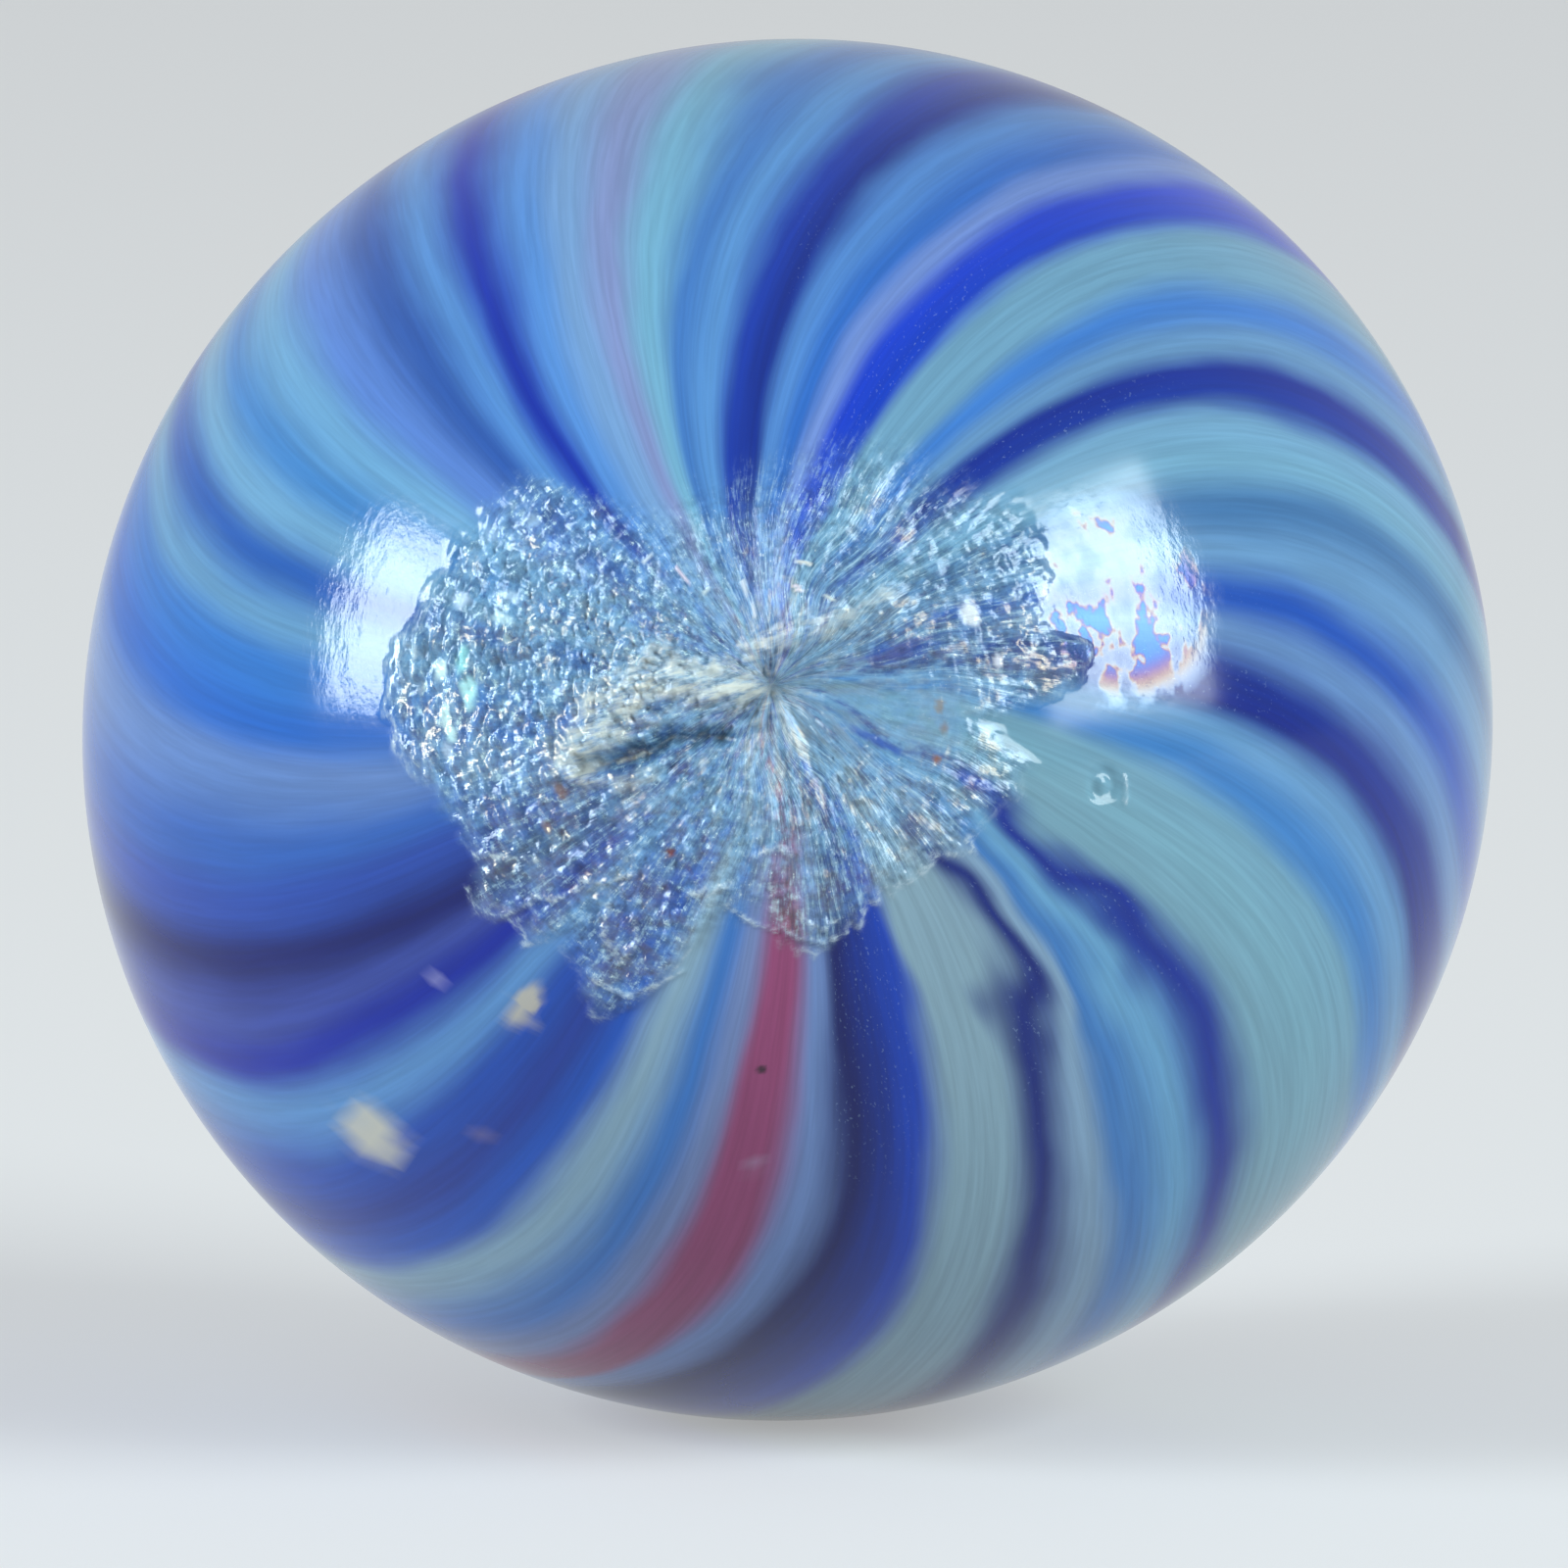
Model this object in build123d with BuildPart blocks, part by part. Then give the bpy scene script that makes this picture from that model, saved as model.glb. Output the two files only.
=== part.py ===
"""A glass playing marble: one slightly out-of-round ball with the melted scar of its swirl on the front.

Millimetres, +Z up, origin at the middle of the ball. The swirl axis comes out at the front, towards -Y, and
leans up a little. An azimuth on the scar is counted clockwise from the top as seen from the front, and a
reach is the angle from the swirl axis, seen from the middle of the ball.
"""

import os
from math import cos, radians, sin

from build123d import *

# The ball: a spheroid that sagged a little while it was hot, so one diameter is short.
long_diameter = 16.0
short_diameter = 15.6
short_axis_lean = 17.0  # degrees from vertical, towards -X

# The swirl axis, where the glass was cut off and lapped over itself.
swirl_rise = 11.0  # degrees above the horizontal at the front

# The lapped skin of the scar stands proud of the ball.
skin_step = 0.07
skin_outline = [  # (azimuth, reach), in degrees
    (0, 17),
    (20, 22),
    (42, 23),
    (60, 25.5),
    (72, 23),
    (86, 25.5),
    (98, 18),
    (114, 21.5),
    (138, 18.8),
    (170, 20.8),
    (190, 18.5),
    (200, 25),
    (208, 31),
    (216, 28),
    (226, 29.5),
    (235, 30.5),
    (247, 28.5),
    (272, 32),
    (292, 28.2),
    (309, 26.5),
    (322, 17.5),
    (341, 15.5),
]

# The navel: the sunken middle of the scar, two round dimples that run together.
navel_dimples = [  # (azimuth, reach, depth, radius)
    (330, 3.0, 0.36, 1.25),
    (108, 8.0, 0.26, 1.35),
]

# The fold: a rounded lip on the left of the navel, with a crease under its lower end.
lip_radius = 0.16
lip_reach = 9.5
lip_span = (244, 288)
crease_azimuth = 241
crease_reaches = (7.5, 15)
crease_radius = 0.14

# Pleats run outwards across the skin, like the folds of a drawn-up cloth.
pleat_radius = 0.10
pleat_depth = 0.045
pleat_azimuths = [8, 22, 33, 44, 54, 64, 75, 84, 110, 128, 150, 168, 186]
pleat_azimuths += [203, 212, 222, 231, 246, 256, 264, 273, 282, 291, 301, 311]
pleat_inner_reach = 12.0
pleat_outer_share = 0.9  # of the skin's reach at that azimuth

# A small round pit with a raised middle, right of the scar.
pit_azimuth = 106
pit_reach = 29
pit_radius = 0.19
pit_wire = 0.07

# The far end of the swirl axis: a shallow, smooth dimple.
back_dimple_depth = 0.10
back_dimple_radius = 1.6

swirl_axis = Vector(0, -cos(radians(swirl_rise)), sin(radians(swirl_rise)))
swirl_plane = Plane(origin=(0, 0, 0), x_dir=(1, 0, 0), z_dir=swirl_axis)
short_axis = Vector(-sin(radians(short_axis_lean)), 0, cos(radians(short_axis_lean)))
long_axis = Vector(cos(radians(short_axis_lean)), 0, sin(radians(short_axis_lean)))
ball_plane = Plane(origin=(0, 0, 0), x_dir=long_axis, z_dir=short_axis)
middle = (0, 0, 0)


def surface_distance(direction):
    """How far the ball's surface is from its middle, along a direction."""
    unit = direction.normalized()
    along = unit.dot(short_axis)
    across = 1 - along**2
    return 1 / (across / (long_diameter / 2) ** 2 + along**2 / (short_diameter / 2) ** 2) ** 0.5


def outward(azimuth):
    """The unit vector square to the swirl axis at an azimuth."""
    return swirl_plane.x_dir * sin(radians(azimuth)) + swirl_plane.y_dir * cos(radians(azimuth))


def scar_direction(azimuth, reach):
    """The unit vector from the middle towards a point of the scar."""
    return swirl_axis * cos(radians(reach)) + outward(azimuth) * sin(radians(reach))


def scar_point(azimuth, reach):
    """The same point as flat coordinates on the swirl plane."""
    direction = scar_direction(azimuth, reach)
    point = direction * surface_distance(direction)
    return (point.dot(swirl_plane.x_dir), point.dot(swirl_plane.y_dir))


def skin_reach(azimuth):
    """The skin's reach at an azimuth, between the two nearest points of its outline."""
    closed = skin_outline + [(skin_outline[0][0] + 360, skin_outline[0][1])]
    for (start, low), (end, high) in zip(closed, closed[1:]):
        if start <= azimuth <= end:
            return low + (high - low) * (azimuth - start) / (end - start)
    return closed[-1][1]


def spheroid(extra):
    """The ball, larger all round by extra, with its short axis leaning."""
    half_long = long_diameter / 2 + extra
    half_short = short_diameter / 2 + extra
    with BuildPart() as ball:
        Sphere(half_long)
        scale(by=(1, 1, half_short / half_long))
    return ball.part.moved(ball_plane.location)


def scar_skin():
    """The lapped skin: a slightly larger ball, cut to the outline of the scar."""
    with BuildPart() as skin:
        with BuildSketch(swirl_plane):
            with BuildLine():
                Spline([scar_point(azimuth, reach) for azimuth, reach in skin_outline], periodic=True)
            make_face()
        extrude(amount=long_diameter)
        add(spheroid(skin_step), mode=Mode.INTERSECT)
    return skin.part


def meridian_rod(azimuth, reaches, radius, sink):
    """A thin round rod bent along the surface, outwards from the swirl axis, its middle sunk by sink."""
    first, last = reaches
    start = scar_direction(azimuth, first)
    turn_axis = swirl_axis.cross(outward(azimuth))
    end = start * (surface_distance(start) - sink)
    end_plane = Plane(origin=end, x_dir=start, z_dir=turn_axis.cross(start))
    with BuildPart() as rod:
        with BuildSketch(end_plane):
            Circle(radius)
        revolve(axis=Axis(middle, turn_axis), revolution_arc=last - first)
    return rod.part


def fold_lip():
    """The rounded lip: a rod bent round the swirl axis, with round ends."""
    first, last = lip_span
    ends = []
    for azimuth in lip_span:
        direction = scar_direction(azimuth, lip_reach)
        ends.append(direction * (surface_distance(direction) - lip_radius / 2))
    start_plane = Plane(origin=ends[1], x_dir=outward(last), z_dir=swirl_axis.cross(outward(last)))
    with BuildPart() as lip:
        with BuildSketch(start_plane):
            Circle(lip_radius)
        revolve(axis=Axis(middle, swirl_axis), revolution_arc=last - first)
        with Locations(*ends):
            Sphere(lip_radius)
    return lip.part


def dimple_ball(depth, radius):
    """The radius of the ball that presses a dimple of a depth and a radius into a flat face."""
    return (radius**2 + depth**2) / (2 * depth)


def dimple(direction, depth, radius):
    """The ball that presses a round dimple into the surface."""
    ball_radius = dimple_ball(depth, radius)
    with BuildPart() as cutter:
        with Locations(direction * (surface_distance(direction) - depth + ball_radius)):
            Sphere(ball_radius)
    return cutter.part


def ring_pit():
    """The cutter of the small round pit, a ring that leaves its middle standing."""
    direction = scar_direction(pit_azimuth, pit_reach)
    with BuildPart() as cutter:
        with Locations(Plane(origin=direction * surface_distance(direction), z_dir=direction)):
            Torus(pit_radius, pit_wire)
    return cutter.part


with BuildPart() as marble:
    add(spheroid(0))
    add(scar_skin())
    for azimuth, reach, depth, radius in navel_dimples:
        add(dimple(scar_direction(azimuth, reach), depth, radius), mode=Mode.SUBTRACT)
    add(fold_lip())
    add(meridian_rod(crease_azimuth, crease_reaches, crease_radius, 0), mode=Mode.SUBTRACT)
    for azimuth in pleat_azimuths:
        reaches = (pleat_inner_reach, skin_reach(azimuth) * pleat_outer_share)
        sink = pleat_depth - pleat_radius - skin_step
        add(meridian_rod(azimuth, reaches, pleat_radius, sink), mode=Mode.SUBTRACT)
    add(ring_pit(), mode=Mode.SUBTRACT)
    add(dimple(-swirl_axis, back_dimple_depth, back_dimple_radius), mode=Mode.SUBTRACT)

marble.part.label = "marble"
os.makedirs("parts", exist_ok=True)
export_step(marble.part, "parts/marble.step")
print("volume", round(marble.part.volume, 1), "faces", len(marble.faces()), "solids", len(marble.solids()))
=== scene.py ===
"""The glass marble: a dense ball mesh with the relief of its melt scar, and glass striped by its swirl.

Places on the ball are given as on the CAD part: an azimuth, in degrees clockwise from the top as seen from
the front, and a reach, the angle from the swirl axis, in degrees. Near the scar they are also given as flat
coordinates, in degrees right of and above the swirl axis.
"""

import math

import bpy
import numpy as np
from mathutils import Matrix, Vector

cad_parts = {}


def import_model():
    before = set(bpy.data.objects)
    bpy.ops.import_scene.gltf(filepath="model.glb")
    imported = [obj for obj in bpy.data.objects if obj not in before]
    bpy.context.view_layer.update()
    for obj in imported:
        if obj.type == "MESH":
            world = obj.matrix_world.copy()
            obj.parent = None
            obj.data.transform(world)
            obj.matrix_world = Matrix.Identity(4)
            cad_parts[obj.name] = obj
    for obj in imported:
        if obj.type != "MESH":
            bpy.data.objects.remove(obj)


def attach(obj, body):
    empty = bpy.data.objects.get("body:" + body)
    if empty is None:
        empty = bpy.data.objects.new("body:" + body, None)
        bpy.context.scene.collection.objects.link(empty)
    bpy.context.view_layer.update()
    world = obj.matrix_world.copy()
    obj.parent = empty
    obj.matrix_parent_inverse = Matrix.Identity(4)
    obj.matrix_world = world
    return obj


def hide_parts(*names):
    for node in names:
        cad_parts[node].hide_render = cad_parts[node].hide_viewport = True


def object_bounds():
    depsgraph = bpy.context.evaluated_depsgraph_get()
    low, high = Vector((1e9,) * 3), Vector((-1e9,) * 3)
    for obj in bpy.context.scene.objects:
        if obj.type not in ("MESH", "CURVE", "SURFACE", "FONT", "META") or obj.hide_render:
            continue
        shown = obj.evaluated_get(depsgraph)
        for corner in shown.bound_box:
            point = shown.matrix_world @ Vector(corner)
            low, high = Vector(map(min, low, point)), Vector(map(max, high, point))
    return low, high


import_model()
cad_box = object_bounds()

MM = 0.001

# ---------------------------------------------------------------- the ball, from the CAD frame
SWIRL_RISE = math.radians(11.0)  # the swirl axis leans up from -Y
SHORT_AXIS_LEAN = math.radians(17.0)  # the short diameter leans from +Z towards -X
LONG_RADIUS = cad_box[1][1]
HALF_HEIGHT = (cad_box[1][2] - cad_box[0][2]) / 2
HEIGHT_OF_LONG_AXIS = LONG_RADIUS * math.sin(SHORT_AXIS_LEAN)
SHORT_RADIUS = math.sqrt(HALF_HEIGHT**2 - HEIGHT_OF_LONG_AXIS**2) / math.cos(SHORT_AXIS_LEAN)
FLOOR_Z = cad_box[0][2]

POLE = np.array([0.0, -math.cos(SWIRL_RISE), math.sin(SWIRL_RISE)])
RIGHT = np.array([1.0, 0.0, 0.0])
UP = np.array([0.0, math.sin(SWIRL_RISE), math.cos(SWIRL_RISE)])
SHORT_AXIS = np.array([-math.sin(SHORT_AXIS_LEAN), 0.0, math.cos(SHORT_AXIS_LEAN)])

# ---------------------------------------------------------------- colours, as seen in plain light
PALE_AQUA = (114, 160, 188)
GREY_WHITE = (146, 174, 190)
GREY_BLUE = (104, 148, 190)
PALE_SKY = (98, 148, 204)
SKY = (62, 124, 202)
ROYAL = (0, 60, 190)
DEEP_NAVY = (0, 22, 104)
SLATE = (66, 116, 166)
LILAC = (122, 148, 204)
VIOLET = (56, 74, 160)
PINK = (160, 72, 118)
MAUVE = (134, 146, 194)
CLEAR_GLASS = (0.84, 0.89, 0.90, 1.0)  # the share of the streaks' light that the clear glass lets out
MILK = (114, 160, 196)
# The gaps' colour: the darker blue of clear glass between the fibres, with painted shade where the fine
# relief is low.
GAP_AND_SHADE = (24, 58, 126)
HAZE = (178, 214, 234)
# The next two colours are painted highlights: glints on the skin.
GLITTER_HIGHLIGHT = (236, 250, 252)
CHIP_GLINT = (206, 244, 248)
SKIN_EDGE = (196, 214, 224)
PALE_FOLD = (222, 230, 222)
FOLD_SHADE = (50, 66, 82)
DUST = (150, 176, 206)

# The centre line of each streak of glass: its azimuth at a reach of 30, 50 and 70 degrees, and its colour.
STREAK_REACHES = (30, 50, 70)
CENTRE_TWIST = 0.2  # azimuth gained a degree of reach inside them, besides half a streak's own slope
BACK_TWIST = 0.5  # azimuth gained a degree of reach by every streak in the end, behind them
SETTLING_REACH = 9.0  # about how far behind them a streak comes to that slope
STREAKS = [
    (0, 9, 19, (0, 42, 138)),
    (4.2, 15, 25, (82, 134, 200)),
    (9.5, 20.5, 30, (44, 106, 192)),
    (13.5, 24.5, 34, (116, 142, 206)),
    (18, 28, 37.5, (10, 60, 198)),
    (22, 31, 41, ROYAL),
    (26, 35, 45, PALE_AQUA),
    (31, 38.5, 49, PALE_AQUA),
    (35.5, 44, 56, SKY),
    (40.5, 49, 62, GREY_BLUE),
    (43.5, 52.5, 66.5, (0, 42, 146)),
    (46.5, 55.5, 69, (0, 48, 150)),
    (51, 60, 73, (118, 164, 196)),
    (56, 64, 76, (118, 166, 194)),
    (63, 70, 81, SLATE),
    (68.5, 75.5, 86, GREY_BLUE),
    (74, 82, 94, (16, 78, 176)),
    (79, 87, 99, (100, 136, 186)),
    (84, 92, 104, (0, 40, 136)),
    (88, 95, 107.5, (0, 34, 130)),
    (93, 100, 112, (102, 150, 194)),
    (97.5, 105, 116.5, (58, 124, 190)),
    (102, 110, 121, (118, 162, 184)),
    (109, 116, 127, (124, 168, 186)),
    (114.5, 122, 133, (122, 162, 180)),
    (119.5, 128, 138.5, (0, 44, 146)),
    (125.5, 135, 144, (108, 162, 202)),
    (131.5, 140.5, 149, (66, 124, 190)),
    (135.5, 144.5, 153.5, (138, 166, 194)),
    (140.5, 150.5, 160.5, (4, 36, 122)),
    (146.5, 155.5, 166, GREY_WHITE),
    (153.5, 161, 172, GREY_WHITE),
    (159.5, 166, 177, (6, 66, 186)),
    (164, 169.5, 181, (0, 46, 146)),
    (168, 173.5, 186, DEEP_NAVY),
    (173, 179.5, 190.5, LILAC),
    (178.6, 184.8, 193, PINK),
    (182.4, 188, 196, PINK),
    (186.8, 191.6, 199.5, (124, 142, 192)),
    (191.5, 195.8, 204, SKY),
    (198.5, 202.5, 211, (150, 180, 200)),
    (204.5, 208.5, 216, (24, 86, 190)),
    (209.5, 213, 220, (30, 62, 156)),
    (215, 218.5, 224.5, (26, 78, 178)),
    (221.5, 225.5, 234.5, PALE_SKY),
    (227.5, 231, 239, (0, 38, 160)),
    (231.8, 235.6, 243.5, VIOLET),
    (236.8, 242, 250, (0, 22, 106)),
    (243.5, 247.5, 255.5, (36, 74, 168)),
    (249.5, 253.5, 262, (44, 96, 180)),
    (256, 262.5, 272, (96, 130, 190)),
    (262.5, 268.5, 279, (38, 104, 194)),
    (269, 274.5, 285, (50, 118, 196)),
    (275.5, 280, 289.5, (104, 154, 194)),
    (281, 286, 294.5, (30, 92, 176)),
    (286.5, 291.3, 299.5, (114, 164, 200)),
    (291.5, 296, 304, (68, 134, 198)),
    (297.5, 302, 309, (112, 166, 206)),
    (304, 308.5, 314.5, (92, 132, 206)),
    (310, 315.8, 320.5, (42, 88, 168)),
    (315.3, 321, 325.2, (88, 142, 206)),
    (320, 326, 330.5, (4, 46, 166)),
    (325, 332, 337, (88, 142, 210)),
    (330.3, 336.5, 342, (122, 160, 206)),
    (335.5, 341, 347, MAUVE),
    (340.6, 347.5, 355, (118, 172, 200)),
    (345, 355, 364, (66, 120, 188)),
    (349.6, 359.5, 369, (90, 144, 202)),
    (355, 366, 375, (12, 54, 160)),
]

# ---------------------------------------------------------------- the scar
SKIN_OUTLINE = [  # (azimuth, reach) of the lapped skin's edge
    (0, 17), (12, 19), (24, 22), (36, 21), (46, 23), (52, 24.5), (60, 25.5), (67, 23.5), (76, 23), (82, 25.5),
    (88, 25), (93, 21), (99, 17), (106, 21), (113, 22), (121, 20), (129, 20), (137, 18.6), (148, 18.4),
    (157, 19.2), (164, 20.6), (171, 21), (178, 20.4), (184, 18.6), (190, 18.2), (195, 19), (200, 25),
    (204, 29.5), (208, 31), (212, 30.2), (216, 28.4), (220, 27), (224, 29.4), (228, 27.6), (233, 30.2),
    (239, 28.6), (246, 28.2), (252, 29.8), (259, 31), (266, 31.6), (274, 32), (281, 30.2), (289, 29),
    (297, 28), (305, 27), (312, 25.6), (318, 20), (324, 17), (333, 15.5), (345, 15.5), (353, 16.5),
]

# Azimuth, radial pleats, lumps, ripples along the edge, milkiness, and width of the edge's fade in degrees.
SKIN_CHARACTER = [
    (0, 0.45, 0.15, 0.00, 0.16, 8.0),
    (35, 0.60, 0.15, 0.00, 0.20, 8.0),
    (52, 0.90, 0.25, 0.05, 0.35, 5.0),
    (64, 1.10, 0.45, 0.10, 0.40, 2.4),
    (75, 1.20, 0.50, 0.10, 0.40, 2.0),
    (90, 1.00, 0.30, 0.00, 0.50, 2.4),
    (98, 0.15, 0.15, 0.00, 0.60, 5.0),
    (106, 0.45, 0.20, 0.00, 0.52, 5.0),
    (112, 0.80, 0.25, 0.05, 0.50, 3.0),
    (140, 0.95, 0.30, 0.15, 0.50, 2.4),
    (170, 0.80, 0.35, 0.25, 0.35, 2.4),
    (188, 0.35, 0.25, 0.10, 0.22, 5.0),
    (202, 0.45, 0.55, 0.40, 0.40, 2.2),
    (228, 0.70, 0.55, 0.40, 0.35, 2.6),
    (250, 0.55, 0.75, 0.50, 0.66, 3.0),
    (275, 0.25, 1.05, 0.90, 0.66, 1.8),
    (298, 0.25, 1.00, 0.40, 0.66, 3.5),
    (312, 0.30, 0.50, 0.05, 0.36, 5.0),
    (322, 0.30, 0.25, 0.00, 0.22, 6.0),
    (335, 0.30, 0.15, 0.00, 0.16, 7.0),
]

# From here on, places are flat coordinates, but for the spots.
SUNKEN_MIDDLE = ((5.0, -3.5), 10.0, 0.22)  # centre, radius, depth in millimetres
CALM_PATCH = ((9.5, -2.2), (9.0, 4.6))  # centre and half sizes of the smoothest part of the skin
TANGLE = ((21.0, -20.0, 0.0), 6.0, 15.0)  # centre, and the radii where the stirring is full and where it ends
FOLDS = [  # (line, half width in degrees, height in millimetres)
    ([(-15.5, -6.3), (-13.5, -2.5), (-9.5, 0.2), (-5.5, 0.2), (-1.5, -0.6)], 2.1, 0.14),
    ([(-16.0, -7.4), (-12.5, -8.0), (-9.6, -7.4)], 0.6, 0.05),
    ([(-1.5, 2.6), (3.0, 4.4), (8.8, 6.5)], 1.1, 0.06),
    ([(-15.2, -6.6), (-11.5, -5.9), (-8.2, -4.5), (-3.8, -4.3)], 0.8, -0.20),
    ([(-0.4, 1.2), (0.3, -0.8)], 0.7, -0.06),
]
SPECKS_AND_GLINTS = [  # (azimuth, reach, half width, half length, colour, strength), sizes in degrees on the ball
    (218, 34.0, 1.1, 2.6, (196, 188, 168), 0.85),
    (223, 56.0, 3.0, 3.4, (205, 200, 182), 0.90),
    (181.5, 32.0, 0.45, 0.40, (30, 26, 34), 0.90),
    (183, 41.5, 0.8, 0.8, (170, 160, 190), 0.60),
    (114, 14.5, 0.35, 0.35, (150, 84, 40), 0.80),
    (97, 13.6, 0.6, 0.4, (150, 120, 70), 0.50),
    (104, 14.3, 0.4, 0.4, (140, 100, 60), 0.50),
    (243, 19.0, 0.9, 0.5, (140, 96, 60), 0.60),
    (238, 21.5, 0.7, 0.4, (146, 104, 66), 0.50),
    (211, 15.7, 0.45, 0.3, (120, 40, 36), 0.85),
    (230, 38.0, 0.7, 0.8, (150, 150, 200), 0.55),
    (214, 47.5, 1.0, 1.0, (120, 110, 150), 0.50),
    (75, 10.3, 0.7, 3.6, (22, 58, 158), 0.80),
    (118, 9.5, 0.4, 2.4, (24, 62, 164), 0.75),
    (115.4, 18.0, 0.7, 2.4, (22, 62, 166), 0.70),
    # These rows, down to the dark spot, are painted highlights: glints on the skin's facets, painted in their
    # colour.
    (69.8, 17.0, 1.2, 0.8, (236, 244, 248), 0.95),
    (83.9, 18.3, 0.6, 0.4, (228, 232, 246), 0.90),
    (268.9, 24.9, 1.5, 0.68, (190, 250, 254), 0.95),
    (272.9, 27.6, 0.98, 0.68, (224, 254, 255), 1.0),
    (275.2, 25.6, 1.3, 0.52, (164, 240, 242), 0.9),
    (264.9, 27.1, 0.98, 0.45, (214, 252, 255), 0.95),
    (261.6, 26.7, 0.7, 0.42, (214, 254, 255), 0.9),
    (258.4, 27.2, 0.84, 0.38, (204, 229, 255), 0.85),
    (285.7, 26.7, 0.7, 0.9, (204, 230, 255), 0.80),
    (298.6, 26.7, 0.7, 0.70, (170, 205, 240), 0.55),
    (304.7, 23.9, 0.6, 0.60, (180, 215, 240), 0.55),
    (284.0, 22.8, 0.42, 1.0, (204, 239, 249), 0.80),
    (289.0, 22.5, 0.42, 1.0, (194, 229, 254), 0.70),
    (280.0, 22.0, 0.4, 0.40, (190, 225, 230), 0.60),
    (274.9, 22.2, 0.7, 0.60, (40, 78, 120), 0.85),
]
RIM_HALF_WIDTH = 0.26
RIMS = [  # the pale, slightly raised edges of small flaps, as lines
    [(-14.8, -24.0), (-11.9, -25.5), (-9.4, -24.5), (-7.4, -23.4)],
    [(-13.2, -17.8), (-13.7, -20.5), (-12.3, -22.6), (-10.9, -20.8), (-11.1, -18.7)],
    [(-15.7, -15.7), (-13.7, -16.0), (-11.0, -15.2)],
    [(-19.5, -17.2), (-17.6, -17.4), (-15.6, -16.5)],
    [(-25.5, -16.6), (-24.6, -18.3), (-22.8, -19.1), (-19.8, -17.8)],
    [(-24.7, -13.8), (-21.8, -14.0), (-19.2, -14.2)],
    [(-0.7, -13.5), (0.6, -13.0), (1.6, -13.7)],
    [(0.0, -15.6), (0.4, -18.6), (1.8, -20.3), (4.3, -20.9), (6.1, -20.0)],
    [(1.8, -16.9), (2.6, -19.0), (4.2, -19.7), (5.5, -18.8)],
    [(-3.5, -17.7), (-1.9, -19.0), (0.5, -19.9)],
    [(-6.5, -16.8), (-4.7, -16.7), (-3.2, -16.0)],
    [(-31.2, -4.5), (-30.1, -5.7), (-28.8, -7.1)],
    [(-31.3, 0.6), (-31.1, 2.7), (-30.0, 5.0), (-28.5, 7.3)],
    [(-29.4, -0.1), (-30.1, 1.8), (-29.6, 3.5)],
    [(29.4, -7.3), (29.5, -9.3)],
]
RING_PIT = ((27.5, -7.8), 0.95, 0.45, 0.05)  # centre, radius, width of the ring, depth in millimetres
FILMS = [  # centre and half sizes of two faintly crusted patches, of which the right one has a thin film
    ((28.9, 8.1), (10.0, 9.5)),
    ((-34.5, 7.5), (8.0, 10.5)),
]
NEEDLES_AND_HIGHLIGHTS = [  # (line, half width in degrees, colour): slivers of clear glass that stand up, with their glints painted in their colour
    ([(-7.7, 9.4), (-6.1, 7.6)], 0.20, (235, 220, 235)),
    ([(-5.6, 6.9), (-4.6, 8.0)], 0.16, (215, 235, 235)),
    ([(-2.4, 8.4), (-1.0, 4.7)], 0.20, (225, 235, 245)),
    ([(1.6, 10.0), (3.2, 9.5)], 0.18, (240, 238, 225)),
    ([(-0.4, 13.5), (-0.3, 10.6)], 0.16, (205, 225, 240)),
    ([(-10.4, 9.8), (-9.2, 10.7)], 0.22, (215, 232, 240)),
    ([(1.8, 7.9), (2.4, 7.3)], 0.30, (235, 225, 240)),
    ([(4.2, 7.2), (5.0, 6.6)], 0.20, (225, 235, 225)),
    ([(-12.6, -6.4), (-9.8, -5.4)], 0.22, (200, 208, 200)),
]

# Heights of the relief, in millimetres.
SKIN_STEP = 0.045
PLEAT_HEIGHT = 0.045
FINE_PLEAT_HEIGHT = 0.018
LUMP_HEIGHT = 0.070
PIT_HEIGHT = 0.020
RIPPLE_HEIGHT = 0.012
SWELL_HEIGHT = 0.030
EDGE_HEIGHT = 0.028
RIM_HEIGHT = 0.025
SLIVER_HEIGHT = 0.03
FINGER_HEIGHT = 0.05
FOLD_GRAIN_HEIGHT = 0.03
BACK_DENT = 0.10
BACK_DENT_REACH = 11.0


# ---------------------------------------------------------------- numbers
def smoothstep(low, high, value):
    """0 below low, 1 above high, and an easy slope between."""
    share = np.clip((value - low) / (high - low), 0, 1)
    return share * share * (3 - 2 * share)


def srgb(colour):
    """A colour given from 0 to 255, as linear light with full strength."""
    share = np.array(colour) / 255
    light = np.where(share <= 0.04045, share / 12.92, ((share + 0.055) / 1.055) ** 2.4)
    return (*(float(channel) for channel in light), 1.0)


def around_table(table, azimuth, column):
    """A column of a table that goes round the scar, read at each azimuth."""
    places = [row[0] for row in table]
    values = [row[column] for row in table]
    return np.interp(azimuth, places, values, period=360)


def random_of(cells, seed):
    """One repeatable random number, 0 to 1, for each whole-number cell."""
    whole = cells.astype(np.uint64)
    mixed = whole[..., 0] * np.uint64(73856093)
    mixed ^= whole[..., 1] * np.uint64(19349663)
    mixed ^= whole[..., 2] * np.uint64(83492791)
    mixed ^= np.uint64(seed * 2654435761)
    for shift in (15, 13, 16):
        mixed &= np.uint64(0xFFFFFFFF)
        mixed = (mixed ^ (mixed >> np.uint64(shift))) * np.uint64(2246822519)
    return (mixed & np.uint64(0xFFFFFFFF)) / 0xFFFFFFFF


def smooth_noise(points, seed):
    """Soft noise from -1 to 1, with one bump a unit."""
    cells = np.floor(points).astype(np.int64)
    local = points - cells
    ease = local * local * (3 - 2 * local)
    total = np.zeros(len(points))
    for corner in np.ndindex(2, 2, 2):
        weight = np.prod(np.where(corner, ease, 1 - ease), axis=1)
        total += weight * random_of(cells + np.array(corner), seed)
    return total * 2 - 1


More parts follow.
